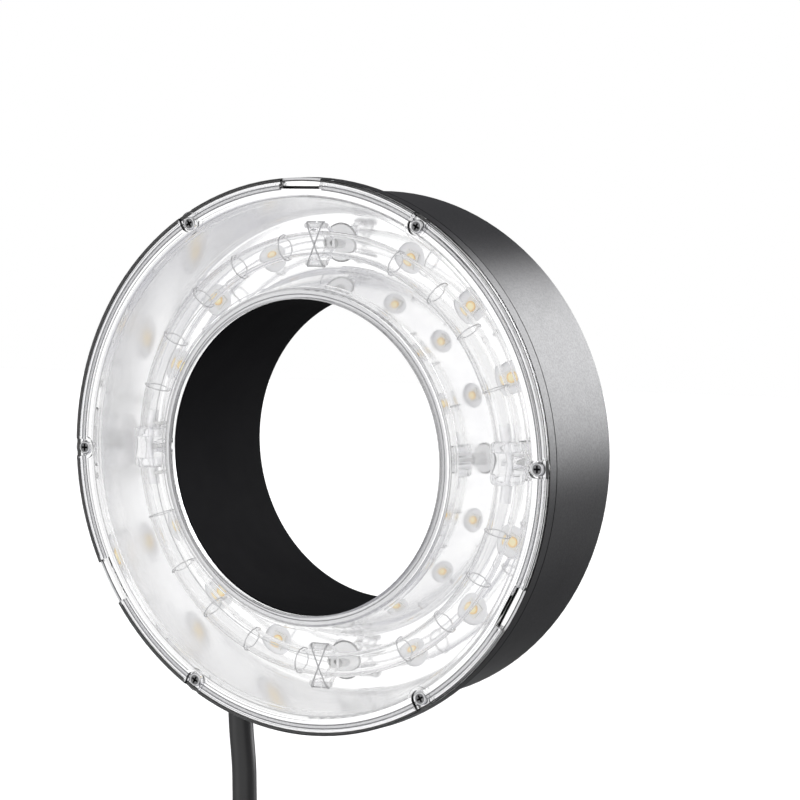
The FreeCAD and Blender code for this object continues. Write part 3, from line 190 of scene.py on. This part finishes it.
class Surface:
    """A material with one Principled shader and short calls for what feeds it.

    Pieces turned round the lens axis are smoothed round it as well.
    """

    def __init__(self, name, **values):
        self.round_lens = name in ROUND_LENS
        self.material = bpy.data.materials.new(name)
        self.material.use_nodes = True
        self.tree = self.material.node_tree
        self.shader = self.tree.nodes["Principled BSDF"]
        self.output = self.tree.nodes["Material Output"].inputs["Surface"]
        self.set(**values)
        self.place = self.tree.nodes.new("ShaderNodeTexCoord").outputs["Object"]

    def set(self, **values):
        for key, value in values.items():
            self.shader.inputs[key.replace("_", " ")].default_value = value

    def link(self, output, target):
        self.tree.links.new(output, target)

    def feed(self, key, output):
        self.link(output, self.shader.inputs[key])

    def fed(self, key):
        """What feeds an input of the shader so far."""
        return self.shader.inputs[key].links[0].from_socket

    def node(self, kind, **values):
        node = self.tree.nodes.new(kind)
        for key, value in values.items():
            setattr(node, key, value)
        return node

    def noise(self, scale, detail=2.0):
        """Noise of that many grains a metre."""
        noise = self.node("ShaderNodeTexNoise")
        noise.inputs["Scale"].default_value = scale
        noise.inputs["Detail"].default_value = detail
        self.link(self.place, noise.inputs["Vector"])
        return noise.outputs["Fac"]

    def spread(self, value, low, high, start=NOISE_LOW, end=NOISE_HIGH):
        """Maps what lies between start and end, a noise's usual limits, to a range of values."""
        node = self.node("ShaderNodeMapRange")
        limits = {"From Min": start, "From Max": end, "To Min": low, "To Max": high}
        for key, limit in limits.items():
            node.inputs[key].default_value = limit
        self.link(value, node.inputs["Value"])
        return node.outputs["Result"]

    def mottled(self, scale, first, second):
        """Patches of two colours."""
        return self.blend(self.spread(self.noise(scale), 0.0, 1.0), first, second)

    def blend(self, fac, first, second):
        """Mixes two colours, each given as numbers or as another mix."""
        node = self.node("ShaderNodeMix", data_type="RGBA")
        for socket, colour in ((node.inputs["A"], first), (node.inputs["B"], second)):
            if isinstance(colour, tuple):
                socket.default_value = (*colour, 1.0)
            else:
                self.link(colour, socket)
        self.link(fac, node.inputs["Factor"])
        return node.outputs["Result"]

    def math(self, operation, *values):
        node = self.node("ShaderNodeMath", operation=operation)
        for socket, value in zip(node.inputs, values):
            if isinstance(value, (int, float)):
                socket.default_value = value
            else:
                self.link(value, socket)
        return node.outputs["Value"]

    def step(self, value, edge):
        """0 below an edge and 1 above it, in metres."""
        return self.spread(value, 0.0, 1.0, edge - SHARP / 2, edge + SHARP / 2)

    def both(self, first, second):
        return self.math("MULTIPLY", first, second)

    def outside(self, share):
        """1 where a share is 0, and 0 where it is 1."""
        return self.math("SUBTRACT", 1.0, share)

    def within(self, value, low, high):
        """1 between two places and 0 outside them."""
        return self.both(self.step(value, low), self.outside(self.step(value, high)))

    def part_of(self, vector, axis):
        split = self.node("ShaderNodeSeparateXYZ")
        self.link(vector, split.inputs["Vector"])
        return split.outputs[axis]

    def vector(self, operation, first, second=None, scale=None):
        """A vector operation; its single number is the result where it has one."""
        node = self.node("ShaderNodeVectorMath", operation=operation)
        self.link(first, node.inputs[0])
        if isinstance(second, tuple):
            node.inputs[1].default_value = second
        elif second:
            self.link(second, node.inputs[1])
        if scale:
            self.link(scale, node.inputs["Scale"])
        single = operation in ("DOT_PRODUCT", "LENGTH")
        return node.outputs["Value" if single else "Vector"]

    def normal(self):
        return self.node("ShaderNodeTexCoord").outputs["Normal"]

    def ring_normal(self):
        """The normal, turned into the plane of the lens axis where it lies next to that plane."""
        across, along = (1.0, 0.0, 1.0), (0.0, 1.0, 0.0)
        normal = self.normal()
        outward = self.vector("NORMALIZE", self.vector("MULTIPLY", self.place, across))
        sideways = self.vector("MULTIPLY", normal, across)
        radial = self.vector("DOT_PRODUCT", sideways, outward)
        near = self.math("GREATER_THAN", self.math("ABSOLUTE", radial),
                         self.math("MULTIPLY", self.vector("LENGTH", sideways), NEARLY_RADIAL))
        smooth = self.vector("ADD", self.vector("SCALE", outward, scale=radial),
                             self.vector("MULTIPLY", normal, along))
        mix = self.node("ShaderNodeMix", data_type="VECTOR")
        self.link(near, mix.inputs["Factor"])
        self.link(normal, mix.inputs["A"])
        self.link(self.vector("NORMALIZE", smooth), mix.inputs["B"])
        return mix.outputs["Result"]

    def bump(self, height, distance):
        node = self.node("ShaderNodeBump")
        node.inputs["Strength"].default_value = 1.0
        node.inputs["Distance"].default_value = distance
        self.link(height, node.inputs["Height"])
        if self.round_lens:
            self.link(self.ring_normal(), node.inputs["Normal"])
        self.feed("Normal", node.outputs["Normal"])

    def length(self, first, second):
        """Distance from two sides at right angles."""
        squares = [self.math("POWER", side, 2.0) for side in (first, second)]
        return self.math("SQRT", self.math("ADD", *squares))

    def depth(self):
        """Place along the lens axis, in metres. The front is negative."""
        return self.part_of(self.place, "Y")

    def ring_distance(self):
        """Distance from the lens axis, in metres."""
        return self.length(self.part_of(self.place, "X"), self.part_of(self.place, "Z"))

    def step_angle(self, count, first=0.0):
        """Angle from the nearest of evenly spaced directions round the lens axis, in radians."""
        angle = self.math("ARCTAN2", self.part_of(self.place, "Z"), self.part_of(self.place, "X"))
        half = math.pi / count
        return self.math("WRAP", self.math("SUBTRACT", angle, first), half, -half)

    def tangent_offset(self, count, first=0.0):
        """How far round the lens axis a point lies from the nearest of those directions."""
        return self.both(self.ring_distance(), self.math("SINE", self.step_angle(count, first)))

    def spot_distance(self, count, radius):
        """Distance from the nearest of evenly spaced places on a circle round the lens axis."""
        inward = self.both(self.ring_distance(), self.math("COSINE", self.step_angle(count)))
        return self.length(self.math("SUBTRACT", inward, radius), self.tangent_offset(count))


# Kinds of material: scales are in grains a metre

PLASTIC_TONE = 45.0
PLASTIC_GLOSS = 160.0
PLASTIC_SMOOTHER, PLASTIC_ROUGHER = 0.015, 0.02
METAL_TONE = 300.0
METAL_DARKER = 0.82
METAL_GLOSS = 900.0
METAL_SMOOTHER, METAL_ROUGHER = 0.06, 0.1
METAL_GRAIN = 1500.0


def moulded(name, colour, lighter, roughness, grain, depth):
    """Moulded or painted plastic with a fine surface grain and a slight unevenness of tone."""
    surface = Surface(name, Roughness=roughness)
    surface.feed("Base Color", surface.mottled(PLASTIC_TONE, colour, lighter))
    low, high = roughness - PLASTIC_SMOOTHER, roughness + PLASTIC_ROUGHER
    surface.feed("Roughness", surface.spread(surface.noise(PLASTIC_GLOSS, detail=4.0), low, high))
    surface.bump(surface.noise(grain, detail=3.0), depth)
    return surface


def turned_metal(name, colour, roughness, depth):
    """Bare or plated metal with fine machining marks."""
    surface = Surface(name, Metallic=1.0)
    darker = tuple(value * METAL_DARKER for value in colour)
    surface.feed("Base Color", surface.mottled(METAL_TONE, darker, colour))
    low, high = roughness - METAL_SMOOTHER, roughness + METAL_ROUGHER
    surface.feed("Roughness", surface.spread(surface.noise(METAL_GLOSS, detail=3.0), low, high))
    surface.bump(surface.noise(METAL_GRAIN), depth)
    return surface


def clear(name, ior, roughness, tint=(1.0, 1.0, 1.0), clearness=1.0):
    """Clear plastic or glass that throws no shadow, so light reaches what lies behind it."""
    surface = Surface(name, IOR=ior, Roughness=roughness)
    surface.set(Base_Color=(*tint, 1.0), Transmission_Weight=clearness)
    shadow = surface.node("ShaderNodeLightPath").outputs["Is Shadow Ray"]
    through = surface.node("ShaderNodeBsdfTransparent")
    through.inputs["Color"].default_value = WHITE
    seen = surface.shader.outputs["BSDF"]
    surface.link(mixed_shader(surface.tree, shadow, seen, through.outputs["BSDF"]), surface.output)
    return surface


# Painted drum: painted light on the front face under the cover, and painted shade at both edges of
# the flange

# A face looks to the front where its normal along the lens axis is below this
FRONT_FACING = -0.7
LIP_RADIUS = 0.0940
# Painted light: the front face there is light grey, for the light seen in the clear cover's rim
LIP_PAINTED_LIGHT_COLOUR = (0.75, 0.75, 0.76)
FLANGE_SIDE_RADIUS = 0.0945
FLANGE_JOINT_Y = -0.05245
FLANGE_BACK_Y = -0.04830
# Painted shade for the gaps at both edges of the flange: its colour, and the share of gloss left
# there
GAP_SHADE_COLOUR = (0.003, 0.003, 0.003)
GAP_SHADE_GLOSS = 0.04
PAINT_GRAIN = 1500.0
PAINT_GRAIN_LOW, PAINT_GRAIN_HIGH = 0.35, 0.65
PAINT_GLOSS_LOW, PAINT_GLOSS_HIGH = 0.40, 0.60


def paint_drum(surface):
    """Satin paint with a fine grain in its gloss, painted light on its front rim and painted shade
    at the flange's edges.
    """
    distance = surface.ring_distance()
    front = surface.math("LESS_THAN", surface.part_of(surface.normal(), "Y"), FRONT_FACING)
    # Painted light: the front face under the cover is light grey, for the light seen in the clear
    # cover's rim
    rim_light_mask = surface.both(front, surface.step(distance, LIP_RADIUS))
    # Painted shade: dark matt lines on the flange's side at its front joint and back edge, for the
    # shadow gaps there
    beyond = surface.outside(surface.within(surface.depth(), FLANGE_JOINT_Y, FLANGE_BACK_Y))
    side = surface.math("SUBTRACT", surface.step(distance, FLANGE_SIDE_RADIUS), rim_light_mask)
    gap_shade = surface.math("MAXIMUM", surface.both(beyond, side), 0.0)
    colour = surface.blend(rim_light_mask, surface.fed("Base Color"), LIP_PAINTED_LIGHT_COLOUR)
    surface.feed("Base Color", surface.blend(gap_shade, colour, GAP_SHADE_COLOUR))
    grain = surface.spread(surface.noise(PAINT_GRAIN, detail=1.0), PAINT_GLOSS_LOW,
                           PAINT_GLOSS_HIGH, PAINT_GRAIN_LOW, PAINT_GRAIN_HIGH)
    share = surface.spread(gap_shade, 1.0, GAP_SHADE_GLOSS, 0.0, 1.0)
    surface.feed("Specular IOR Level", surface.both(grain, share))


# Cover screws

SCREW_COUNT = 6
SCREW_CIRCLE = 0.0910
SCREW_BEVEL = 0.00175
SCREW_BEVEL_COLOUR = (0.80, 0.80, 0.81)
SCREW_CROSS_Y = -0.0546
# Painted shade: the colour of all that lies deeper than the head's face, in the drive recess
SCREW_RECESS_SHADE_COLOUR = (0.004, 0.004, 0.004)


def dress_screws(surface):
    """A bright turned bevel on dark screws, and painted shade, near black, in their drive recess.
    """
    # Painted shade in the drive recess, behind the head's face
    recess_shade = surface.step(surface.depth(), SCREW_CROSS_Y)
    recess_shaded = surface.blend(recess_shade, surface.fed("Base Color"), SCREW_RECESS_SHADE_COLOUR)
    bevel = surface.step(surface.spot_distance(SCREW_COUNT, SCREW_CIRCLE), SCREW_BEVEL)
    surface.feed("Base Color", surface.blend(bevel, recess_shaded, SCREW_BEVEL_COLOUR))


# Posts and sockets: clear in front, opal towards the trough's floor

OPAL_COLOUR = (0.93, 0.93, 0.93, 1.0)
STEM_OPAL = 0.7
STEM_FADE_Y = (-0.0346, -0.0338)
FOOT_OPAL = 0.25
FOOT_FADE_Y = (-0.0293, -0.0289)


def make_feet_opal(surface):
    """Turns a clear moulding opal from its stem to its foot, in the trough's floor."""
    sides = []
    for kind in ("ShaderNodeBsdfDiffuse", "ShaderNodeBsdfTranslucent"):
        side = surface.node(kind)
        side.inputs["Color"].default_value = OPAL_COLOUR
        sides.append(side.outputs["BSDF"])
    inner = surface.node("ShaderNodeNewGeometry").outputs["Backfacing"]
    opal = mixed_shader(surface.tree, inner, *sides)
    depth = surface.depth()
    stem = surface.spread(depth, 0.0, STEM_OPAL, *STEM_FADE_Y)
    foot = surface.spread(depth, 0.0, FOOT_OPAL, *FOOT_FADE_Y)
    glassy = surface.output.links[0].from_socket
    share = surface.math("ADD", stem, foot)
    surface.link(mixed_shader(surface.tree, share, glassy, opal), surface.output)


# Polished trough, with satin flanges and painted shade in each turned groove

TROUGH_TONE = 60.0
TROUGH_COLOURS = ((0.915, 0.915, 0.92), (0.965, 0.965, 0.965))
FLANGE_GROOVES = ((0.09085, 0.09130), (0.09210, 0.09255))
FLANGE_COLOUR = (0.50, 0.50, 0.51)
FLANGE_EDGE_COLOUR = (0.78, 0.78, 0.79)
# Painted shade: the dark colour of each groove in the flanges
GROOVE_SHADE_COLOUR = (0.13, 0.13, 0.14)
INNER_LAND = 0.0573
INNER_LAND_COLOUR = (0.56, 0.56, 0.57)
INNER_GROOVE = (0.0553, 0.0557)
# Painted shade: the dark colour of the groove on the inner land
INNER_GROOVE_SHADE_COLOUR = (0.16, 0.16, 0.17)
NOTCH_COUNT = 3
NOTCH_FIRST = math.pi / 2
NOTCH_HALF = 0.008
SATIN_RADII = (0.079, 0.084)
SATIN_ROUGHNESS = 0.13
POLISH_SCALE = 220.0
POLISH_ROUGHNESS = (0.09, 0.12)
# The turned marks, in radians a metre outwards
MARKS_PITCH = 9000.0
MARKS_SHARE = 0.05
WAVES_SCALE = 30.0
WAVES_SHARE = 2.6
TROUGH_BUMP = 0.000012


def trough_colour(surface, distance):
    """Bright in the trough and satin on both flanges; each turned groove, there and on the inner
    land, has painted shade.
    """
    (first_edge, _), (_, last_edge) = FLANGE_GROOVES
    # Painted shade: thin dark rings on the flanges, for turned grooves in shade
    groove_shade = [surface.within(distance, *edges) for edges in FLANGE_GROOVES]
    groove_shade = surface.math("MAXIMUM", *groove_shade)
    offset = surface.tangent_offset(NOTCH_COUNT, NOTCH_FIRST)
    plain = surface.outside(surface.within(offset, -NOTCH_HALF, NOTCH_HALF))
    outer = surface.blend(surface.step(distance, last_edge), FLANGE_COLOUR, FLANGE_EDGE_COLOUR)
    bright = surface.mottled(TROUGH_TONE, *TROUGH_COLOURS)
    colour = surface.blend(surface.both(surface.step(distance, first_edge), plain), bright, outer)
    colour = surface.blend(surface.both(groove_shade, plain), colour, GROOVE_SHADE_COLOUR)
    inner = surface.outside(surface.step(distance, INNER_LAND))
    colour = surface.blend(inner, colour, INNER_LAND_COLOUR)
    # Painted shade: a thin dark ring on the inner land, for a groove in shade
    return surface.blend(surface.within(distance, *INNER_GROOVE), colour, INNER_GROOVE_SHADE_COLOUR)


def polished_trough():
    """Bright drawn aluminium: soft waves from forming, fine marks that run round the ring, and
    satin flanges, of which the outer one is bright again in the accessory notches."""
    surface = Surface("polished_trough", Metallic=1.0)
    distance = surface.ring_distance()
    surface.feed("Base Color", trough_colour(surface, distance))
    satin = surface.spread(distance, 0.0, SATIN_ROUGHNESS, *SATIN_RADII)
    polish = surface.spread(surface.noise(POLISH_SCALE, detail=4.0), *POLISH_ROUGHNESS)
    surface.feed("Roughness", surface.math("ADD", satin, polish))
    marks = surface.math("SINE", surface.math("MULTIPLY", distance, MARKS_PITCH))
    marks = surface.math("MULTIPLY", marks, MARKS_SHARE)
    waves = surface.math("MULTIPLY", surface.noise(WAVES_SCALE, detail=1.0), WAVES_SHARE)
    surface.bump(surface.math("ADD", marks, waves), TROUGH_BUMP)
    return surface


# LEDs: twelve on sixteen even places, because the posts and sockets take four

LED_PLACES = 16
LED_CIRCLE = 0.0724
LED_EDGE = (0.0010, 0.0018)
LED_COLOURS = ((0.98, 0.84, 0.50), (1.0, 0.90, 0.60))
LED_EDGE_COLOUR = (0.88, 0.56, 0.20)
LED_SUBSURFACE = 0.1
LED_SUBSURFACE_RADIUS = (0.001, 0.0008, 0.0003)
LED_GRAIN = 2600.0
LED_BUMP_GRAIN = 3000.0
LED_BUMP = 0.00003


def led_phosphor():
    """Yellow phosphor gel with fine grains, deeper in colour towards its edge."""
    surface = Surface("led_yellow", Roughness=0.45, Subsurface_Weight=LED_SUBSURFACE)
    surface.set(Subsurface_Radius=LED_SUBSURFACE_RADIUS)
    edge = surface.spread(surface.spot_distance(LED_PLACES, LED_CIRCLE), 0.0, 1.0, *LED_EDGE)
    middle = surface.mottled(LED_GRAIN, *LED_COLOURS)
    surface.feed("Base Color", surface.blend(edge, middle, LED_EDGE_COLOUR))
    surface.bump(surface.noise(LED_BUMP_GRAIN), LED_BUMP)
    return surface


# Plastics: colour, lighter colour, roughness, grains a metre and the grain's depth
PLASTICS = {
    "black_shell": ((0.018, 0.018, 0.020), (0.023, 0.023, 0.025), 0.30, 2600.0, 0.000006),
    "throat_black": ((0.004, 0.004, 0.005), (0.006, 0.006, 0.007), 0.85, 2200.0, 0.00003),
    "rear_black": ((0.018, 0.018, 0.019), (0.024, 0.024, 0.026), 0.5, 1800.0, 0.00003),
    "peg_white": ((0.78, 0.78, 0.78), (0.84, 0.84, 0.84), 0.35, 1500.0, 0.00001),
    "board_white": ((0.84, 0.84, 0.85), (0.89, 0.89, 0.90), 0.4, 900.0, 0.00001),
    "led_white": ((0.78, 0.77, 0.74), (0.84, 0.83, 0.80), 0.45, 1500.0, 0.00001),
    "board_green": ((0.02, 0.13, 0.06), (0.03, 0.18, 0.08), 0.35, 900.0, 0.00001),
    "part_black": ((0.02, 0.02, 0.02), (0.03, 0.03, 0.03), 0.5, 1500.0, 0.00002),
    "part_blue": ((0.02, 0.07, 0.25), (0.03, 0.10, 0.32), 0.35, 1500.0, 0.00001),
    "part_green": ((0.03, 0.22, 0.10), (0.04, 0.28, 0.13), 0.4, 1500.0, 0.00001),
    "lead_white": ((0.72, 0.72, 0.71), (0.80, 0.80, 0.79), 0.45, 1500.0, 0.00001),
    "core_grey": ((0.25, 0.25, 0.26), (0.32, 0.32, 0.33), 0.45, 1500.0, 0.00001),
    "gland_black": ((0.018, 0.018, 0.019), (0.025, 0.025, 0.026), 0.45, 1800.0, 0.00002),
    "cord_black": ((0.008, 0.008, 0.009), (0.012, 0.012, 0.013), 0.32, 2400.0, 0.00001),
    "strap_black": ((0.016, 0.016, 0.017), (0.030, 0.030, 0.031), 0.75, 3500.0, 0.00008),
    "plug_core": ((0.03, 0.03, 0.03), (0.04, 0.04, 0.04), 0.5, 1500.0, 0.00002),
}

# Metals: colour, roughness and the depth of the machining marks
METALS = {
    "screw_steel": ((0.20, 0.20, 0.205), 0.38, 0.00001),
    "screw_black": ((0.06, 0.06, 0.065), 0.42, 0.00001),
    "insert_brass": ((0.80, 0.60, 0.28), 0.3, 0.00001),
    "electrode_metal": ((0.93, 0.93, 0.94), 0.35, 0.00001),
    "trigger_metal": ((0.60, 0.60, 0.61), 0.35, 0.000005),
    "tie_metal": ((0.50, 0.50, 0.51), 0.35, 0.000005),
    "plug_metal": ((0.33, 0.33, 0.34), 0.32, 0.00001),
    "contact_gold": ((0.92, 0.70, 0.32), 0.22, 0.000005),
}

# Clear pieces: index of refraction, roughness, and for the mouldings a tint and how clear they are
CLEARS = {
    "clear_cover": (1.49, 0.015),
    "clear_moulding": (1.22, 0.07, (0.97, 0.97, 0.975), 0.94),
    "tube_glass": (1.47, 0.01),
}
COVER_WAVES, COVER_BUMP = 400.0, 0.000001
TUBE_WAVES, TUBE_BUMP = 55.0, 0.00004
THROAT_GLOSS = 0.06
CORD_GLOSS = 0.62


def make_materials():
    """One material for each slot of the record."""
    surfaces = {"polished_trough": polished_trough(), "led_yellow": led_phosphor()}
    for make, looks in ((moulded, PLASTICS), (turned_metal, METALS), (clear, CLEARS)):
        surfaces.update({slot: make(slot, *look) for slot, look in looks.items()})
    paint_drum(surfaces["black_shell"])
    dress_screws(surfaces["screw_steel"])
    make_feet_opal(surfaces["clear_moulding"])
    cover, tube = surfaces["clear_cover"], surfaces["tube_glass"]
    cover.bump(cover.noise(COVER_WAVES, detail=1.0), COVER_BUMP)
    tube.bump(tube.noise(TUBE_WAVES, detail=1.0), TUBE_BUMP)
    surfaces["throat_black"].set(Specular_IOR_Level=THROAT_GLOSS)
    surfaces["cord_black"].set(Specular_IOR_Level=CORD_GLOSS)
    return surfaces


def finish_surfaces(surfaces):
    """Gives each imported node, and the cord's line, the finish of its slot."""
    for node in nodes_of.values():
        for holder in node.material_slots:
            slot = holder.material.name.split(".")[0]
            holder.material = surfaces[slot].material
    cord_piece.data.materials.append(surfaces["cord_black"].material)


finish_surfaces(make_materials())


# Floor, light and background

FLOOR_HALF = 4.0
FLOOR_GAP = 0.001
FLOOR_COLOUR = (0.88, 0.88, 0.88, 1.0)
FLOOR_GLOW = 0.55
# Patches of light: direction, half-width of the full part and of the whole patch in degrees, and
# the light's colour there
STUDIO = (
    ((-0.07, -1.0, 0.1), 48.0, 82.0, (0.94, 0.94, 0.94)),
    ((-0.54, -0.84, -0.09), 5.0, 19.0, (1.25, 1.25, 1.25)),
    ((0.1, -0.5, -0.86), 22.0, 50.0, (0.55, 0.55, 0.59)),
    ((-0.34, 0.84, 0.30), 28.0, 48.0, (0.10, 0.10, 0.105)),
    ((0.42, 0.84, -0.45), 5.0, 28.0, (0.35, 0.35, 0.35)),
    ((-0.03, 0.84, -0.54), 10.0, 25.0, (0.10, 0.10, 0.10)),
    ((0.44, 0.8355, 0.33), 4.0, 31.0, (6.9, 6.9, 7.0)),
)
STUDIO_BASE = (0.35, 0.35, 0.355)


def make_floor():
    low = cad_box[0].z - FLOOR_GAP
    corners = [(-FLOOR_HALF, -FLOOR_HALF, low), (FLOOR_HALF, -FLOOR_HALF, low),
               (FLOOR_HALF, FLOOR_HALF, low), (-FLOOR_HALF, FLOOR_HALF, low)]
    mesh = bpy.data.meshes.new("floor")
    mesh.from_pydata(corners, [], [(0, 1, 2, 3)])
    floor = bpy.data.objects.new("floor", mesh)
    bpy.context.scene.collection.objects.link(floor)
    surface = Surface("floor", Base_Color=FLOOR_COLOUR, Roughness=0.9, Emission_Color=WHITE)
    seen = surface.node("ShaderNodeLightPath").outputs["Is Camera Ray"]
    surface.feed("Emission Strength", surface.math("MULTIPLY", seen, FLOOR_GLOW))
    mesh.materials.append(surface.material)
    floor.visible_glossy = False
    floor.visible_transmission = False
    floor.visible_shadow = False


def studio_colour(tree):
    """The studio's light by direction: each patch lies over those before it."""
    direction = tree.nodes.new("ShaderNodeTexCoord").outputs["Generated"]
    colour = None
    for axis, inner, outer, light in STUDIO:
        dot = tree.nodes.new("ShaderNodeVectorMath")
        dot.operation = "DOT_PRODUCT"
        dot.inputs[1].default_value = Vector(axis).normalized()
        tree.links.new(direction, dot.inputs[0])
        fade = tree.nodes.new("ShaderNodeMapRange")
        fade.interpolation_type = "SMOOTHSTEP"
        fade.inputs["From Min"].default_value = math.cos(math.radians(outer))
        fade.inputs["From Max"].default_value = math.cos(math.radians(inner))
        tree.links.new(dot.outputs["Value"], fade.inputs["Value"])
        mix = tree.nodes.new("ShaderNodeMix")
        mix.data_type = "RGBA"
        mix.inputs["A"].default_value = (*STUDIO_BASE, 1.0)
        mix.inputs["B"].default_value = (*light, 1.0)
        tree.links.new(fade.outputs["Result"], mix.inputs["Factor"])
        if colour:
            tree.links.new(colour, mix.inputs["A"])
        colour = mix.outputs["Result"]
    return colour


def make_world():
    """The studio lights the model and mirrors in it; the camera sees plain white behind."""
    world = bpy.data.worlds.new("studio")
    bpy.context.scene.world = world
    world.use_nodes = True
    tree = world.node_tree
    tree.nodes.clear()
    light = tree.nodes.new("ShaderNodeBackground")
    tree.links.new(studio_colour(tree), light.inputs["Color"])
    white = tree.nodes.new("ShaderNodeBackground")
    white.inputs["Color"].default_value = WHITE
    seen = tree.nodes.new("ShaderNodeLightPath").outputs["Is Camera Ray"]
    choice = mixed_shader(tree, seen, light.outputs["Background"], white.outputs["Background"])
    output = tree.nodes.new("ShaderNodeOutputWorld")
    tree.links.new(choice, output.inputs["Surface"])


make_floor()
make_world()
bpy.context.scene.view_settings.view_transform = "Standard"
cycles = bpy.context.scene.cycles
cycles.blur_glossy = 0.0
cycles.max_bounces = 32
cycles.glossy_bounces = 16
cycles.transmission_bounces = 24
cycles.transparent_max_bounces = 24
